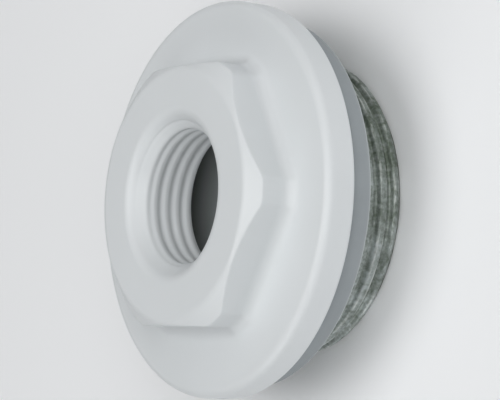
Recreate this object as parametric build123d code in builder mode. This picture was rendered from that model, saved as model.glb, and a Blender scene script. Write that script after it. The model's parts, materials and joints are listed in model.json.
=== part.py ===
from build123d import *
import os
from math import cos, radians, tan

# Radiator reducing plug: a flanged steel plug that closes a radiator's large tapping
# and leaves a smaller threaded hole in its middle, with a flat sealing ring behind the flange.
# Millimetres. The axis is +Z with the hexagon on top, and the threaded end stands on z = 0.
# Both pipe threads are drawn as plain walls over their crests.

# Threaded stub behind the flange
male_thread_diameter = 41.91  # G 1 1/4, over the crests
stub_length = 13.4  # from the flange's back to the threaded end
thread_lead = 0.8  # length of the lead at each end of the male thread, 45 degrees at the threaded end
neck_depth = 0.5  # how far the plain neck under the ring lies below the crests
stub_wall = 4.5  # between the neck and the hollow inside

# Flange
flange_overhang = 1.65  # beyond the sealing ring
flange_thickness = 4.5
rim_round = 1.1  # front edge of the rim
rim_back_bevel = 0.3

# Hexagon
across_flats = 36.0
hex_height = 6.3  # above the flange
corner_trim = 0.985  # turned off each sharp corner
face_setback = 0.4  # from a flat in to the round front face
chamfer_slope = 36.0  # degrees that the corner chamfer falls away from the front face
foot_fillet = 1.0
corner_round = 0.5  # upright edges beside the trimmed corners

# Waterway
bore_thread_diameter = 18.631  # G 1/2, over the crests
mouth_depth = 2.55
mouth_half_angle = 40.0  # degrees from the axis
cavity_rise = 1.1  # the hollow's roof above the flange's back
cavity_taper = 2.0  # slanted corner under the hollow's roof

# Sealing ring
seal_thickness = 4.1
seal_width = 4.945
seal_clearance = 0.2  # slips over the crests of the male thread
seal_relief = 0.4  # bare neck left between the ring and the thread

# Radii and levels that follow from these
male_radius = male_thread_diameter / 2
neck_radius = male_radius - neck_depth
cavity_radius = neck_radius - stub_wall
seal_inner_radius = male_radius + seal_clearance
seal_outer_radius = seal_inner_radius + seal_width
flange_radius = seal_outer_radius + flange_overhang
bore_radius = bore_thread_diameter / 2
mouth_radius = bore_radius + mouth_depth * tan(radians(mouth_half_angle))
corner_radius = across_flats / 2 / cos(radians(30)) - corner_trim
face_radius = across_flats / 2 - face_setback

flange_back = stub_length
seal_back = flange_back - seal_thickness
thread_top = seal_back - seal_relief
foot_level = flange_back + flange_thickness
front_level = foot_level + hex_height
chamfer_level = front_level - (corner_radius - face_radius) * tan(radians(chamfer_slope))
roof_level = flange_back + cavity_rise
mouth_level = front_level - mouth_depth

os.makedirs("parts", exist_ok=True)

# Hexagon for the spanner, with its corners turned off and its front chamfered like a nut
with BuildPart() as hexagon:
    with BuildSketch(Plane.XY.offset(flange_back)):
        RegularPolygon(radius=across_flats / 2, side_count=6, major_radius=False)
        Circle(corner_radius, mode=Mode.INTERSECT)
    extrude(amount=front_level - flange_back)
    fillet(hexagon.edges().filter_by(Axis.Z), corner_round)
    with BuildSketch(Plane.XZ):
        with BuildLine():
            Polyline(
                (0, flange_back),
                (corner_radius, flange_back),
                (corner_radius, chamfer_level),
                (face_radius, front_level),
                (0, front_level),
                close=True,
            )
        make_face()
    revolve(axis=Axis.Z, mode=Mode.INTERSECT)

# The plug itself: flange and stub turned on one axis, the hexagon on top, the waterway cut through
with BuildPart() as plug_body:
    with BuildSketch(Plane.XZ) as turned_section:
        with BuildLine():
            Polyline(
                (0, 0),
                (male_radius - thread_lead, 0),
                (male_radius, thread_lead),
                (male_radius, thread_top - thread_lead),
                (neck_radius, thread_top),
                (neck_radius, flange_back),
                (flange_radius, flange_back),
                (flange_radius, foot_level),
                (0, foot_level),
                close=True,
            )
        make_face()
        fillet(turned_section.vertices().group_by(Axis.X)[-1].sort_by(Axis.Y)[-1], rim_round)
        chamfer(turned_section.vertices().group_by(Axis.X)[-1].sort_by(Axis.Y)[0], rim_back_bevel)
    revolve(axis=Axis.Z)
    add(hexagon.part)
    ledge = plug_body.faces().filter_by(Plane.XY).sort_by(Axis.Z)[-2]
    fillet(ledge.inner_wires()[0].edges(), foot_fillet)
    with BuildSketch(Plane.XZ):
        with BuildLine():
            Polyline(
                (0, 0),
                (cavity_radius, 0),
                (cavity_radius, roof_level - cavity_taper),
                (cavity_radius - cavity_taper, roof_level),
                (bore_radius, roof_level),
                (bore_radius, mouth_level),
                (mouth_radius, front_level),
                (0, front_level),
                close=True,
            )
        make_face()
    revolve(axis=Axis.Z, mode=Mode.SUBTRACT)
plug_body.part.label = "plug_body"
export_step(plug_body.part, "parts/plug_body.step")

# Flat silicone ring, pushed over the thread against the flange's back
with BuildPart() as sealing_ring:
    with BuildSketch(Plane.XZ):
        with BuildLine():
            Polyline(
                (seal_inner_radius, seal_back),
                (seal_outer_radius, seal_back),
                (seal_outer_radius, flange_back),
                (seal_inner_radius, flange_back),
                close=True,
            )
        make_face()
    revolve(axis=Axis.Z)
sealing_ring.part.label = "sealing_ring"
export_step(sealing_ring.part, "parts/sealing_ring.step")
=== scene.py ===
import json
import math

import bpy
import numpy as np
from mathutils import Matrix, Vector


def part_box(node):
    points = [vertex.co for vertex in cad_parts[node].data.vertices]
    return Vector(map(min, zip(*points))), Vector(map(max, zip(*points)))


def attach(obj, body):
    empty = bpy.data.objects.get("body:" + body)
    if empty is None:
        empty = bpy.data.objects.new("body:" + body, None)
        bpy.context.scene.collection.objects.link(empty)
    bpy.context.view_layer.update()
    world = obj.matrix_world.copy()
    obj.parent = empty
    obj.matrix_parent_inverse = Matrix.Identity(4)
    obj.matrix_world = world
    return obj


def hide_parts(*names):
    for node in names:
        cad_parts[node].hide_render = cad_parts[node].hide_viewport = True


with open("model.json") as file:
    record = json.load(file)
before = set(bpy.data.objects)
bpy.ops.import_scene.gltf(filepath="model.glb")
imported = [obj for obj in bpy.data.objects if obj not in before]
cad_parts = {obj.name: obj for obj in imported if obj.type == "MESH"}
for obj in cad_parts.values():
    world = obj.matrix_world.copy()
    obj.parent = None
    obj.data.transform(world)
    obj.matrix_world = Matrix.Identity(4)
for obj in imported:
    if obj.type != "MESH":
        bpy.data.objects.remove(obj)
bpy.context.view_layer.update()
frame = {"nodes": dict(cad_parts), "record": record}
print("frame loaded, nodes:", ", ".join(sorted(frame["nodes"])))

millimetre = 0.001  # in metres; lengths below are millimetres until a mesh is made


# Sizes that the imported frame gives
def boxOf(node):  # lowest and highest corner of a node's box
    low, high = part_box(node)
    return np.array(low) / millimetre, np.array(high) / millimetre


def wallOf(name):  # radius of a round mount, and where its wall starts and ends along the axis
    mount = next(m for m in frame["record"]["mounts"] if m["name"] == name)
    middle = mount["pos_m"][2] / millimetre
    half = mount["dims"]["length_mm"] / 2
    return mount["dims"]["r_mm"], middle - half, middle + half


plugHigh = boxOf("plug_body")[1]
ringLow, ringHigh = boxOf("sealing_ring")
flangeRadius, frontLevel = plugHigh[0], plugHigh[2]
flangeBack, ringBack, ringOuter = ringHigh[2], ringLow[2], ringHigh[0]
maleRadius, leadEnd, leadTop = wallOf("male_thread")
boreRadius, roofLevel, mouthLevel = wallOf("bore_thread")


# Small helpers
def smoothMin(a, b, width):  # the smaller of two, blended over a width, so that an edge is rounded
    blend = np.maximum(width - np.abs(a - b), 0.0)
    return np.minimum(a, b) - blend**2 / (4 * width)


def smoothStep(start, end, x):  # 0 before start, 1 after end, with a soft ramp
    t = np.clip((x - start) / (end - start), 0.0, 1.0)
    return t * t * (3 - 2 * t)


def sectionPoint(radius, level, angles):  # one point of the section for every angle round the axis
    return np.stack(np.broadcast_arrays(radius, level, angles)[:2], axis=-1)


def lineRows(start, end, shares):  # points along a straight run, at the given shares of its length
    shares = np.asarray(shares)[None, :, None]
    return start[:, None] * (1 - shares) + end[:, None] * shares


def arcRows(before, corner, after, radius, steps):
    # a corner turned into an arc: tangent to both sides, it starts and ends radius/tan(half the corner)
    # from the corner, and its centre lies on the line that halves the corner
    a = before - corner
    b = after - corner
    a = a / np.linalg.norm(a, axis=-1, keepdims=True)
    b = b / np.linalg.norm(b, axis=-1, keepdims=True)
    half = np.arccos(np.clip((a * b).sum(-1, keepdims=True), -1, 1)) / 2
    middle = a + b
    middle = middle / np.linalg.norm(middle, axis=-1, keepdims=True)
    centre = corner + middle * radius / np.sin(half)
    first = (corner + a * radius / np.tan(half) - centre)[:, None]
    last = (corner + b * radius / np.tan(half) - centre)[:, None]
    turn = (math.pi - 2 * half)[:, None]
    t = np.linspace(0, 1, steps + 1)[None, :, None]
    return centre[:, None] + (np.sin((1 - t) * turn) * first + np.sin(t * turn) * last) / np.sin(turn)


def revolveRows(rows, angles):  # section points (radius, level) carried round the axis
    x = rows[..., 0] * np.cos(angles)[:, None]
    y = rows[..., 0] * np.sin(angles)[:, None]
    return np.stack([x, y, rows[..., 1]], axis=-1) * millimetre


def ringMesh(name, points, finishes, finishOfRow):
    # a grid that closes on itself both round the axis and along the section
    turns, steps = points.shape[:2]
    index = np.arange(turns * steps).reshape(turns, steps)
    nextTurn = np.roll(index, -1, axis=0)
    nextStep = np.roll(index, -1, axis=1)
    nextBoth = np.roll(nextTurn, -1, axis=1)
    faces = np.stack([index, nextStep, nextBoth, nextTurn], axis=-1).reshape(-1, 4)
    mesh = bpy.data.meshes.new(name)
    mesh.from_pydata(points.reshape(-1, 3).tolist(), [], faces.tolist())
    mesh.polygons.foreach_set("use_smooth", np.ones(len(faces), dtype=bool))
    mesh.polygons.foreach_set("material_index", np.tile(finishOfRow, turns).astype(np.int32))
    for finish in finishes:
        mesh.materials.append(finish)
    mesh.update()
    piece = bpy.data.objects.new(name, mesh)
    bpy.context.scene.collection.objects.link(piece)
    return piece


def storeValues(piece, name, values):  # one number for each point, which a material reads by its name
    layer = piece.data.attributes.new(name, "FLOAT", "POINT")
    layer.data.foreach_set("value", values.ravel().astype(np.float32))


# Materials
colourA, colourB, colourOut = 6, 7, 2  # a Mix node's colour sockets, whose names other sockets share


def linear(hexCode):  # sRGB hex to linear colour
    parts = [int(hexCode[i : i + 2], 16) / 255 for i in (1, 3, 5)]
    return tuple(p / 12.92 if p <= 0.04045 else ((p + 0.055) / 1.055) ** 2.4 for p in parts) + (1.0,)


def perMetre(millimetres):  # texture scale that repeats about once in this length
    return 1000.0 / millimetres


def addNode(tree, kind, values=None, links=None, **settings):  # one node, its settings, values and links
    node = tree.nodes.new(kind)
    for name, value in settings.items():
        setattr(node, name, value)
    for socket, value in (values or {}).items():
        node.inputs[socket].default_value = value
    for socket, (source, output) in (links or {}).items():
        tree.links.new(source.outputs[output], node.inputs[socket])
    return node


def newMaterial(name):  # a material, its nodes and shader, and the link that lays a pattern on the piece
    material = bpy.data.materials.new(name)
    material.use_nodes = True
    tree = material.node_tree
    place = addNode(tree, "ShaderNodeTexCoord")
    return material, tree, tree.nodes["Principled BSDF"], {"Vector": (place, "Object")}


coatLook = {
    "white": "#dfe2e4",
    "shade": "#d8dcdd",
    "cloud": 14.0,  # mm across the faint uneven patches
    "ior": 1.5,
    "roughness": (0.36, 0.46),
    "peel": 1.6,  # mm between the ripples of the cured powder
    "peelHeight": 0.012,  # mm
    "peelStrength": 0.6,
}


def whitePowderCoat(look):
    # polyester powder, sprayed and stoved on steel: an even satin white with a faint orange peel
    material, tree, shader, here = newMaterial("whitePowderCoat")
    cloud = addNode(tree, "ShaderNodeTexNoise", {"Scale": perMetre(look["cloud"]), "Detail": 2.0}, here)
    colour = addNode(tree, "ShaderNodeMix",
                     {colourA: linear(look["shade"]), colourB: linear(look["white"])},
                     {"Factor": (cloud, "Fac")}, data_type="RGBA")
    tree.links.new(colour.outputs[colourOut], shader.inputs["Base Color"])
    peel = addNode(tree, "ShaderNodeTexNoise", {"Scale": perMetre(look["peel"]), "Detail": 1.0}, here)
    low, high = look["roughness"]
    rough = addNode(tree, "ShaderNodeMapRange", {"To Min": low, "To Max": high}, {"Value": (peel, "Fac")})
    tree.links.new(rough.outputs["Result"], shader.inputs["Roughness"])
    bump = addNode(tree, "ShaderNodeBump",
                   {"Strength": look["peelStrength"], "Distance": look["peelHeight"] * millimetre},
                   {"Height": (peel, "Fac")})
    tree.links.new(bump.outputs["Normal"], shader.inputs["Normal"])
    shader.inputs["IOR"].default_value = look["ior"]
    return material


zincLook = {
    "dark": "#636d61",
    "middle": "#909892",
    "pale": "#bbc3c2",
    # rubbed crest edges, which also carry a painted glint
    "bright": "#e6eae6",
    "metallic": 0.5,
    "roughness": (0.30, 0.55),
    "patch": 4.0,  # mm across the passivation's patches
    "speckle": 0.6,  # mm across the fine flecks
    "streak": 0.45,  # mm between the tool marks round the thread
    "streakSquash": 0.10,  # a mark is ten times as long as the marks are apart
    "paleSide": (10.0, -16.0),  # mm along Y, from the darker side at +Y to the paler one at -Y
    "mottle": {"patch": 1.9, "speckle": 1.5, "crest": 0.12, "paleSide": 0.45},  # how much each adds
    "toneRange": (1.45, 2.50),  # of the mottle, from dark to pale
    "wornRange": (0.44, 0.60),  # of the tool marks, from plated to rubbed bright with a painted glint
    "bareRange": (0.40, 0.52),  # of the patches, from plated to rubbed bright with a painted glint
    "relief": 0.06,  # mm that the mottle stands out
    "reliefStrength": 0.8,
}


def zincPlatedSteel(look):
    # turned steel, zinc plated: dull grey-green patches, fine flecks, paler crests and bright crest edges
    # where they are rubbed, which also paint a glint of light on them
    material, tree, shader, here = newMaterial("zincPlatedSteel")
    patch = addNode(tree, "ShaderNodeTexNoise",
                    {"Scale": perMetre(look["patch"]), "Detail": 5.0, "Roughness": 0.65}, here)
    fleck = addNode(tree, "ShaderNodeTexNoise", {"Scale": perMetre(look["speckle"]), "Detail": 2.0}, here)
    squash = look["streakSquash"]
    stretch = addNode(tree, "ShaderNodeMapping", {"Scale": (squash, squash, 1.0)}, here)
    streak = addNode(tree, "ShaderNodeTexNoise", {"Scale": perMetre(look["streak"]), "Detail": 2.0},
                     {"Vector": (stretch, "Vector")})
    crest = addNode(tree, "ShaderNodeAttribute", attribute_name="crest")
    # rubbed crest edges, partly a painted glint
    rubAndGlint = addNode(tree, "ShaderNodeAttribute", attribute_name="rubAndGlint")

    # the mottle, from dark to pale: patches, flecks, crests and the paler side added up
    share = look["mottle"]
    apart = addNode(tree, "ShaderNodeSeparateXYZ", {}, here)
    start, end = (y * millimetre for y in look["paleSide"])
    side = addNode(tree, "ShaderNodeMapRange",
                   {"From Min": start, "From Max": end, "To Max": share["paleSide"]},
                   {"Value": (apart, "Y")})
    mottle = (side, "Result")
    for source, name in ((patch, "patch"), (fleck, "speckle"), (crest, "crest")):
        added = addNode(tree, "ShaderNodeMath", {1: share[name]}, {0: (source, "Fac"), 2: mottle},
                        operation="MULTIPLY_ADD")
        mottle = (added, "Value")
    low, high = look["toneRange"]
    tone = addNode(tree, "ShaderNodeMapRange", {"From Min": low, "From Max": high}, {"Value": mottle})
    ground = addNode(tree, "ShaderNodeValToRGB", {}, {"Fac": (tone, "Result")})
    ramp = ground.color_ramp
    ramp.elements[0].color = linear(look["dark"])
    ramp.elements[1].color = linear(look["pale"])
    ramp.elements.new(0.5).color = linear(look["middle"])

    # rubbed crest edges, which also paint a glint, shine through only where a tool mark and a thin patch
    # meet
    wornAndGlint = (rubAndGlint, "Fac")
    for source, name in ((streak, "wornRange"), (patch, "bareRange")):
        low, high = look[name]
        gate = addNode(tree, "ShaderNodeMapRange", {"From Min": low, "From Max": high},
                       {"Value": (source, "Fac")})
        passed = addNode(tree, "ShaderNodeMath", {}, {0: wornAndGlint, 1: (gate, "Result")}, operation="MULTIPLY")
        wornAndGlint = (passed, "Value")
    colour = addNode(tree, "ShaderNodeMix", {colourB: linear(look["bright"])},
                     {"Factor": wornAndGlint, colourA: (ground, "Color")}, data_type="RGBA")
    tree.links.new(colour.outputs[colourOut], shader.inputs["Base Color"])
    low, high = look["roughness"]
    rough = addNode(tree, "ShaderNodeMapRange", {"To Min": high, "To Max": low}, {"Value": (patch, "Fac")})
    tree.links.new(rough.outputs["Result"], shader.inputs["Roughness"])
    bump = addNode(tree, "ShaderNodeBump",
                   {"Strength": look["reliefStrength"], "Distance": look["relief"] * millimetre},
                   {"Height": mottle})
    tree.links.new(bump.outputs["Normal"], shader.inputs["Normal"])
    shader.inputs["Metallic"].default_value = look["metallic"]
    return material


hollowLook = {
    # the roof colour is painted shade, and the mouth colour is painted light from the open end
    "roof": "#5a5e5b",
    "mouth": "#d2d8d9",
    "paintedShadeRange": (3.5, 10.0),  # mm above the open end, between which painted shade darkens the wall towards the roof
    "metallic": 0.25,
    "roughness": 0.55,
    "grain": 0.9,  # mm, the bored wall's fine texture
    "grainHeight": 0.02,  # mm
    "grainStrength": 0.3,
}


def dullZincPlate(look):
    # bored steel, plated but never rubbed: a dull grey with painted shade that darkens towards the roof,
    # and painted light that makes it paler towards the open end
    material, tree, shader, here = newMaterial("dullZincPlate")
    apart = addNode(tree, "ShaderNodeSeparateXYZ", {}, here)
    # painted shade: darker from the open end towards the roof
    low, high = (z * millimetre for z in look["paintedShadeRange"])
    height = addNode(tree, "ShaderNodeMapRange", {"From Min": low, "From Max": high},
                     {"Value": (apart, "Z")})
    colour = addNode(tree, "ShaderNodeMix",
                     {colourA: linear(look["mouth"]), colourB: linear(look["roof"])},
                     {"Factor": (height, "Result")}, data_type="RGBA")
    tree.links.new(colour.outputs[colourOut], shader.inputs["Base Color"])
    shader.inputs["Roughness"].default_value = look["roughness"]
    shader.inputs["Metallic"].default_value = look["metallic"]
    grain = addNode(tree, "ShaderNodeTexNoise", {"Scale": perMetre(look["grain"]), "Detail": 2.0}, here)
    bump = addNode(tree, "ShaderNodeBump",
                   {"Strength": look["grainStrength"], "Distance": look["grainHeight"] * millimetre},
                   {"Height": (grain, "Fac")})
    tree.links.new(bump.outputs["Normal"], shader.inputs["Normal"])
    return material


siliconeLook = {
    "grey": "#9fa5a8",
    "shade": "#93999c",
    # a painted highlight along the outer edge of the ring's back
    "edge": "#c3c9ca",
    "cloud": 5.0,  # mm across faint patches
    "ior": 1.41,
    "roughness": (0.58, 0.70),
    "grain": 0.7,  # mm, the mould's fine texture
    "grainHeight": 0.02,  # mm
    "grainStrength": 0.4,
}


def greySilicone(look):
    # moulded silicone rubber: an even mid grey with a dull sheen, and a pale painted highlight along its
    # back edge
    material, tree, shader, here = newMaterial("greySilicone")
    cloud = addNode(tree, "ShaderNodeTexNoise", {"Scale": perMetre(look["cloud"]), "Detail": 3.0}, here)
    colour = addNode(tree, "ShaderNodeMix",
                     {colourA: linear(look["shade"]), colourB: linear(look["grey"])},
                     {"Factor": (cloud, "Fac")}, data_type="RGBA")
    # the painted highlight along the ring's back edge
    edge = addNode(tree, "ShaderNodeAttribute", attribute_name="edge")
    colour = addNode(tree, "ShaderNodeMix", {colourB: linear(look["edge"])},
                     {"Factor": (edge, "Fac"), colourA: (colour, colourOut)}, data_type="RGBA")
    tree.links.new(colour.outputs[colourOut], shader.inputs["Base Color"])
    grain = addNode(tree, "ShaderNodeTexNoise", {"Scale": perMetre(look["grain"]), "Detail": 2.0}, here)
    low, high = look["roughness"]
    rough = addNode(tree, "ShaderNodeMapRange", {"To Min": low, "To Max": high}, {"Value": (grain, "Fac")})
    tree.links.new(rough.outputs["Result"], shader.inputs["Roughness"])
    bump = addNode(tree, "ShaderNodeBump",
                   {"Strength": look["grainStrength"], "Distance": look["grainHeight"] * millimetre},
                   {"Height": (grain, "Fac")})
    tree.links.new(bump.outputs["Normal"], shader.inputs["Normal"])
    shader.inputs["IOR"].default_value = look["ior"]
    return material


coat = whitePowderCoat(coatLook)
zinc = zincPlatedSteel(zincLook)
dullZinc = dullZincPlate(hollowLook)
silicone = greySilicone(siliconeLook)
print("materials made:", coat.name, zinc.name, dullZinc.name, silicone.name)

# The plug, one closed surface with both threads
plug = {
    "turns": 336,  # steps round the axis
    "edgeSteps": 5,  # more steps about each upright edge of the hexagon
    "edgeSpread": 1.6,  # degrees to each side of the edge that they fill
    "acrossFlats": 36.0,
    "cornerRadius": 19.8,  # where the sharp corners are turned off
    "cornerBlend": 0.25,
    "faceRadius": 17.6,  # round front face inside the chamfer
    "chamferSlope": 36.0,  # degrees
    "chamferShares": (0.58, 0.40),  # of its width, the most that its inner and outer round may take
    "flangeThickness": 4.5,
    "mouthHalfAngle": 40.0,  # degrees
    "neckDepth": 0.5,
    "stubWall": 4.5,
    "roofTaper": 2.0,
    "rounds": {  # radius of each rounded edge, and its steps
        "face": (1.6, 6),
        "chamfer": (0.4, 4),
        "foot": (1.7, 7),
        "rim": (1.1, 7),
        "rimBack": (0.35, 4),
        "mouth": (1.8, 6),
        "roof": (0.25, 3),
        "taper": (0.6, 3),
        "stubEnd": (0.25, 3),
    },
    "malePitch": 2.309,
    "maleDepth": 0.75,  # under the full form, as the plating fills the groove
    "maleCrest": 0.86,  # level of a crest on the +X side
    "maleFlank": (0.62, 0.56),  # middle and width of a flank, as shares of half a pitch from the crest
    "maleRunOut": 0.6,  # below the upper lead, where the groove starts to fade
    "leadBlend": 0.12,  # how softly thread, lead and neck meet
    "borePitch": 1.814,
    "boreDepth": (0.23, 1.06),  # in the bore, where the coat fills the groove, and out in the mouth
    "boreRunOut": (0.5, 1.4),  # above the mouth's start, between which the one depth becomes the other
    "boreCrest": 15.2,  # level of a crest on the -X side
    "boreFlank": (0.55, 0.90),
    "boreBlend": 0.5,  # how softly the coat rounds the groove into the mouth
    "boreRows": 78,  # rows of points along each wall
    "neckRows": 5,
    "stubRows": 66,
    "boreGap": 0.08,  # left between a wall's last row and the next round
    "neckGap": 0.3,
    "rubAndGlintTurns": (3.6, 5.2),  # levels between which the rubbed crest edges and their painted glint end
    "rubAndGlintWidth": 0.10,  # of a rubbed edge and its painted glint, as a share of half a pitch
    "wearAndGlintMargin": 0.1,  # below the roots that still counts as thread
    "leadShade": 1.5,  # how much duller the lead is than a root, where a crest is paler by 1
}


def angleGrid(turns, edges, spread, extra):
    # even steps round the axis, with extra ones gathered about each upright edge of the hexagon
    even = np.arange(turns) / turns * 2 * math.pi
    near = (edges[:, None] + np.linspace(-spread, spread, extra)[None]).ravel() % (2 * math.pi)
    return np.unique(np.round(np.concatenate([even, near]), 5))


def hexagonRadius(angles, apothem, cornerRadius, blend):
    # distance to the nearest flat, apothem over cos(angle from its middle), cut off at the corner radius
    offFlat = (angles % (math.pi / 3)) - math.pi / 6
    return smoothMin(apothem / np.cos(offFlat), cornerRadius, blend)


def threadForm(levels, angles, pitch, crestLevel, crestAngle, middle, flank):
    # 0 on a crest and 1 in a root, for a right-hand thread that climbs one pitch a turn;
    # the second value is the distance from the crest, as a share of half a pitch
    turn = (levels - crestLevel) / pitch - (angles - crestAngle) / (2 * math.pi)
    away = np.abs(2 * ((turn + 0.5) % 1.0) - 1)
    return 0.5 + 0.5 * np.sin(math.pi * np.clip((away - middle) / flank, -0.5, 0.5)), away


def plugSection(p, angles):
    # the section at every angle, as a finish and rows of points for each stretch of it: from the stub's
    # inner edge up the waterway, over the front and back down outside
    around = angles[:, None]
    footLevel = flangeBack + p["flangeThickness"]
    neckRadius = maleRadius - p["neckDepth"]
    cavityRadius = neckRadius - p["stubWall"]
    mouthAngle = math.radians(p["mouthHalfAngle"])
    mouthSlope = math.tan(mouthAngle)
    mouthRadius = boreRadius + (frontLevel - mouthLevel) * mouthSlope
    hexRadius = hexagonRadius(angles, p["acrossFlats"] / 2, p["cornerRadius"], p["cornerBlend"])
    slope = math.radians(p["chamferSlope"])
    chamferLevel = frontLevel - (hexRadius - p["faceRadius"]) * math.tan(slope)
    slant = ((hexRadius - p["faceRadius"]) / math.cos(slope))[:, None]  # narrow at a flat's middle
    innerShare, outerShare = p["chamferShares"]
    faceLimit = innerShare * slant / math.tan(slope / 2)
    chamferLimit = outerShare * slant / math.tan(math.pi / 4 - slope / 2)

    # inner thread: the wall is the wider of the thread's groove and the mouth's cone
    def boreWall(levels):
        form, _ = threadForm(levels, around, p["borePitch"], p["boreCrest"], math.pi, *p["boreFlank"])
        cone = boreRadius + (levels - mouthLevel) * mouthSlope
        inside, outside = p["boreDepth"]
        start, end = p["boreRunOut"]
        depth = inside + (outside - inside) * smoothStep(mouthLevel + start, mouthLevel + end, levels)
        return -smoothMin(-(boreRadius + depth * form), -cone, p["boreBlend"])

    # outer thread: the stub is the slimmest of the thread, the lead at its end and the neck under the ring
    def stubWall(levels):
        form, _ = threadForm(levels, around, p["malePitch"], p["maleCrest"], 0.0, *p["maleFlank"])
        runOut = 1 - smoothStep(leadTop - p["maleRunOut"], leadTop + p["neckDepth"], levels)
        thread = maleRadius - p["maleDepth"] * form * runOut
        endLead = maleRadius - leadEnd + levels
        neck = neckRadius + np.maximum(leadTop + leadEnd - levels, 0) * p["neckDepth"] / leadEnd
        return smoothMin(smoothMin(thread, endLead, p["leadBlend"]), neck, p["leadBlend"])

    roofRound, mouthRound, endRound = (p["rounds"][name][0] for name in ("roof", "mouth", "stubEnd"))
    boreStart = roofLevel + roofRound
    mouthDrop = mouthRound * math.tan(math.pi / 4 - mouthAngle / 2) / math.hypot(1, mouthSlope)
    boreEnd = frontLevel - mouthDrop - p["boreGap"]
    neckEnd = leadTop + leadEnd
    boreLevels = np.linspace(boreStart, boreEnd, p["boreRows"])[None]
    neckLevels = np.linspace(flangeBack - p["neckGap"], neckEnd + p["neckGap"], p["neckRows"])[None]
    stubLevels = np.linspace(neckEnd, endRound, p["stubRows"])[None]
    boreEdge = boreWall(np.array([[boreStart]]))[:, 0]
    stubEdge = stubWall(np.array([[endRound]]))[:, 0]

    def at(radius, level):
        return sectionPoint(radius, level, angles)

    # corners of the section
    endInner = at(cavityRadius, 0.0)
    taperLow = at(cavityRadius, roofLevel - p["roofTaper"])
    taperHigh = at(cavityRadius - p["roofTaper"], roofLevel)
    boreLow = at(boreEdge, roofLevel)
    boreAbove = at(boreEdge, mouthLevel)
    mouthBelow = at(boreRadius, mouthLevel)
    mouthTop = at(mouthRadius, frontLevel)
    faceEdge = at(p["faceRadius"], frontLevel)
    hexTop = at(hexRadius, chamferLevel)
    hexFoot = at(hexRadius, footLevel)
    rimFront = at(flangeRadius, footLevel)
    rimBack = at(flangeRadius, flangeBack)
    neckTop = at(neckRadius, flangeBack)
    stubAbove = at(stubEdge, leadTop)
    stubOuter = at(stubEdge, 0.0)

    def rounded(name, before, corner, after, limit=math.inf):
        radius, steps = p["rounds"][name]
        return arcRows(before, corner, after, np.minimum(radius, limit), steps)

    # the corners as arcs, and between them straight runs that start and end where the arcs do
    endArc = rounded("stubEnd", stubOuter, endInner, taperLow)
    taperArcLow = rounded("taper", endInner, taperLow, taperHigh)
    taperArcHigh = rounded("taper", taperLow, taperHigh, boreLow)
    boreArc = rounded("roof", taperHigh, boreLow, boreAbove)[:, :-1]
    mouthArc = rounded("mouth", mouthBelow, mouthTop, faceEdge)
    faceArc = rounded("face", mouthTop, faceEdge, hexTop, faceLimit)
    chamferArc = rounded("chamfer", faceEdge, hexTop, hexFoot, chamferLimit)
    footArc = rounded("foot", hexTop, hexFoot, rimFront)
    rimArc = rounded("rim", hexFoot, rimFront, rimBack)
    backArc = rounded("rimBack", rimFront, rimBack, neckTop)
    stubArc = rounded("stubEnd", stubAbove, stubOuter, endInner)[:, 1:]

    def run(before, after, *shares):
        return lineRows(before[:, -1], after[:, 0], shares)

    def wall(radii, levels):
        return np.stack(np.broadcast_arrays(radii, levels), axis=-1)

    return [
        ("hollow", endArc),
        ("hollow", run(endArc, taperArcLow, 0.05, 0.35, 0.65, 0.95)),
        ("hollow", taperArcLow),
        ("hollow", taperArcHigh),
        ("hollow", run(taperArcHigh, boreArc, 0.06, 0.5, 0.94)),
        ("coat", boreArc),
        ("coat", wall(boreWall(boreLevels), boreLevels)),
        ("coat", mouthArc),
        ("coat", run(mouthArc, faceArc, 0.05, 0.35, 0.65, 0.95)),
        ("coat", faceArc),
        ("coat", run(faceArc, chamferArc, 0.1, 0.5, 0.9)),
        ("coat", chamferArc),
        ("coat", run(chamferArc, footArc, 0.06, 0.35, 0.65, 0.94)),
        ("coat", footArc),
        ("coat", run(footArc, rimArc, 0.05, 0.35, 0.65, 0.95)),
        ("coat", rimArc),
        ("coat", run(rimArc, backArc, 0.08, 0.5, 0.92)),
        ("coat", backArc),
        ("coat", lineRows(backArc[:, -1], neckTop, (0.05, 0.3))),  # the coat ends under the ring
        ("zinc", lineRows(backArc[:, -1], neckTop, (0.32, 0.6, 0.97))),
        ("zinc", wall(stubWall(neckLevels), neckLevels)),
        ("zinc", wall(stubWall(stubLevels), stubLevels)),
        ("zinc", stubArc),
        ("zinc", run(stubArc, endArc, 0.06, 0.5, 0.94)),
    ]


def threadWearAndGlint(p, rows, around):
    # how pale the plating is, 1 on a crest and 0 in a root and below that on the lead, and how much it is
    # rubbed bright with a painted glint, in a bell curve about both edges of each crest
    radii, levels = rows[..., 0], rows[..., 1]
    form, away = threadForm(levels, around, p["malePitch"], p["maleCrest"], 0.0, *p["maleFlank"])
    onThread = (radii > maleRadius - p["maleDepth"] - p["wearAndGlintMargin"]) & (levels < leadTop)
    onLead = 1 - smoothStep(leadEnd / 2, leadEnd, levels)
    crest = (1 - form) * onThread - p["leadShade"] * onLead
    middle, width = p["maleFlank"]
    firstTurns = 1 - smoothStep(*p["rubAndGlintTurns"], levels)
    rubAndGlint = np.exp(-(((away - (middle - width / 2)) / p["rubAndGlintWidth"]) ** 2)) * onThread * firstTurns
    return crest, rubAndGlint


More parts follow.
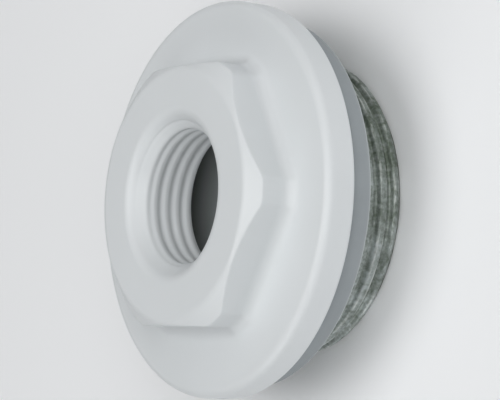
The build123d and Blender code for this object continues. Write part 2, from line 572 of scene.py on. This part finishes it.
def makePlug(p):
    # the section carried round the axis, with a finish for each row and the thread's wear and painted
    # glint stored on it
    corners = np.arange(6) * math.pi / 3
    edgeAngle = math.pi / 6 - math.acos(p["acrossFlats"] / 2 / p["cornerRadius"])
    edges = np.concatenate([corners - edgeAngle, corners + edgeAngle])
    angles = angleGrid(p["turns"], edges, math.radians(p["edgeSpread"]), p["edgeSteps"])
    parts = plugSection(p, angles)
    rows = np.concatenate([part for _, part in parts], axis=1)
    finishes = {"coat": coat, "zinc": zinc, "hollow": dullZinc}
    kinds = list(finishes)
    finishOfRow = np.concatenate([np.full(part.shape[1], kinds.index(kind)) for kind, part in parts])
    piece = ringMesh("coatedPlug", revolveRows(rows, angles), list(finishes.values()), finishOfRow)
    crest, rubAndGlint = threadWearAndGlint(p, rows, angles[:, None])
    storeValues(piece, "crest", crest)
    storeValues(piece, "rubAndGlint", rubAndGlint)
    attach(piece, "root")
    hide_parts("plug_body")
    return piece


plugPiece = makePlug(plug)
print("plug made:", len(plugPiece.data.polygons), "faces")

# The sealing ring
ring = {
    "turns": 240,
    "clearance": 0.2,  # slips over the thread's crests
    "round": 0.45,
    "roundSteps": 5,
    "bulge": 0.06,  # how far the outer wall swells
    "wave": 0.03,  # soft unevenness of the moulded wall
    "waves": ((5, 0.7), (3, 2.1)),  # its two sines: how many round the ring, and the start in radians
    "highlightLevel": 0.22,  # of the painted highlight's middle above the ring's back
    "highlightWidth": 0.14,
    "highlightReach": 0.4,  # in from the outer wall
}


def makeRing(p):
    # a rectangle with rounded corners carried round the axis, its outer wall swollen by a half sine
    # of the height and a little uneven from place to place
    angles = np.arange(p["turns"]) / p["turns"] * 2 * math.pi
    inner = maleRadius + p["clearance"]
    outer = ringOuter - p["bulge"] - p["wave"]

    def at(radius, level):
        return sectionPoint(radius, level, angles)

    corners = [at(inner, ringBack), at(inner, flangeBack), at(outer, flangeBack), at(outer, ringBack)]
    parts = []
    for i, corner in enumerate(corners):
        before, after = corners[i - 1], corners[(i + 1) % 4]
        parts.append(arcRows(before, corner, after, p["round"], p["roundSteps"]))
        parts.append(lineRows(corner, after, (0.2, 0.4, 0.6, 0.8)))
    rows = np.concatenate(parts, axis=1)
    share = np.clip((rows[..., 1] - ringBack) / (flangeBack - ringBack), 0, 1)
    swell = p["bulge"] * np.sin(math.pi * share)
    (countA, startA), (countB, startB) = p["waves"]
    uneven = p["wave"] * np.sin(countA * angles + startA) * np.sin(countB * angles + startB)
    rows[..., 0] += (swell + uneven[:, None]) * (rows[..., 0] > (inner + outer) / 2)
    piece = ringMesh("siliconeRing", revolveRows(rows, angles), [silicone], np.zeros(rows.shape[1]))
    # a painted highlight, a narrow band along the outer edge of the ring's back
    offLine = (rows[..., 1] - ringBack - p["highlightLevel"]) / p["highlightWidth"]
    storeValues(piece, "edge", np.exp(-(offLine**2)) * (rows[..., 0] > outer - p["highlightReach"]))
    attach(piece, "root")
    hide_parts("sealing_ring")
    return piece


ringPiece = makeRing(ring)
print("ring made:", len(ringPiece.data.polygons), "faces")

# Studio: a pale floor, a faint even sky and five soft round lights
studio = {
    "floor": "#f6f7f8",
    "floorRoughness": 0.9,
    "floorSize": 4.0,  # metres, as the next sizes are
    "lightSize": 0.7,
    "lightDistance": 1.0,
    "lightAim": 0.012,  # above the floor
    "lights": [  # degrees round from +X, degrees up, watts
        ("key", 0, 40, 2.88),
        ("high", 0, 65, 1.1),
        ("overhead", 0, 89, 2.95),
        ("fill", 50, 35, 1.76),
        ("side", -90, 30, 1.95),
    ],
    "sky": "#f1f4f7",
    "skyStrength": 0.15,
}


def makeFloor(s):  # one square at the level that the plug stands on
    half = s["floorSize"] / 2
    corners = [(-half, -half, 0), (half, -half, 0), (half, half, 0), (-half, half, 0)]
    mesh = bpy.data.meshes.new("floor")
    mesh.from_pydata(corners, [], [(0, 1, 2, 3)])
    floor = bpy.data.objects.new("floor", mesh)
    bpy.context.scene.collection.objects.link(floor)
    material, _, shader, _ = newMaterial("paleFloor")
    shader.inputs["Base Color"].default_value = linear(s["floor"])
    shader.inputs["Roughness"].default_value = s["floorRoughness"]
    mesh.materials.append(material)


def makeLights(s):  # an even sky, and lights on a sphere about the plug that all look at it
    sky = bpy.data.worlds.new("studioSky")
    sky.use_nodes = True
    background = sky.node_tree.nodes["Background"]
    background.inputs["Color"].default_value = linear(s["sky"])
    background.inputs["Strength"].default_value = s["skyStrength"]
    bpy.context.scene.world = sky
    for name, around, up, power in s["lights"]:
        data = bpy.data.lights.new(name, "AREA")
        data.shape = "DISK"
        data.size = s["lightSize"]
        data.energy = power
        lamp = bpy.data.objects.new(name, data)
        around, up = math.radians(around), math.radians(up)
        flat = math.cos(up)
        towards = Vector((flat * math.cos(around), flat * math.sin(around), math.sin(up)))
        lamp.location = towards * s["lightDistance"]
        aim = Vector((0, 0, s["lightAim"])) - lamp.location
        lamp.rotation_euler = aim.to_track_quat("-Z", "Y").to_euler()
        bpy.context.scene.collection.objects.link(lamp)
    bpy.context.scene.view_settings.view_transform = "Standard"


makeFloor(studio)
makeLights(studio)
print("studio lit")

# Camera, as fitted to the photograph: its aim is the middle of the flange's back
view = {
    "distance": 320.0,
    "offAxis": 55.432,  # degrees between the line of sight and the plug's axis
    "rise": 4.402,  # degrees that the axis rises in the picture
    "roll": 1.871,  # degrees that the hexagon is turned about the axis
    "across": -2.089,  # where the aim lies from the picture's middle
    "up": -0.124,
    "focal": 2279.0,  # pixels
    "width": 500,  # pixels
    "sensor": 36.0,
    "clip": (0.01, 20.0),  # metres
}


def makeCamera(v):
    # the plug's three axes as the camera sees them are the columns of a turn, and its rows
    # are the camera's own axes in the plug's frame
    off, rise, roll = (math.radians(v[k]) for k in ("offAxis", "rise", "roll"))
    axis = np.array([-math.sin(off) * math.cos(rise), math.sin(rise), math.cos(off) * math.cos(rise)])
    side = np.cross([0, 1, 0], axis)
    side /= np.linalg.norm(side)
    over = np.cross(axis, side)
    x = math.cos(roll) * side + math.sin(roll) * over
    y = -math.sin(roll) * side + math.cos(roll) * over
    right, up, back = np.stack([x, y, axis], axis=1)
    place = np.array([0, 0, flangeBack]) - v["across"] * right - v["up"] * up + v["distance"] * back
    data = bpy.data.cameras.new("camera")
    data.sensor_width = v["sensor"]
    data.lens = v["focal"] / v["width"] * v["sensor"]
    data.clip_start, data.clip_end = v["clip"]
    camera = bpy.data.objects.new("camera", data)
    turn = Matrix([right, up, back]).transposed()
    camera.matrix_world = Matrix.Translation(Vector(place * millimetre)) @ turn.to_4x4()
    bpy.context.scene.collection.objects.link(camera)
    bpy.context.scene.camera = camera


makeCamera(view)
print("camera placed")
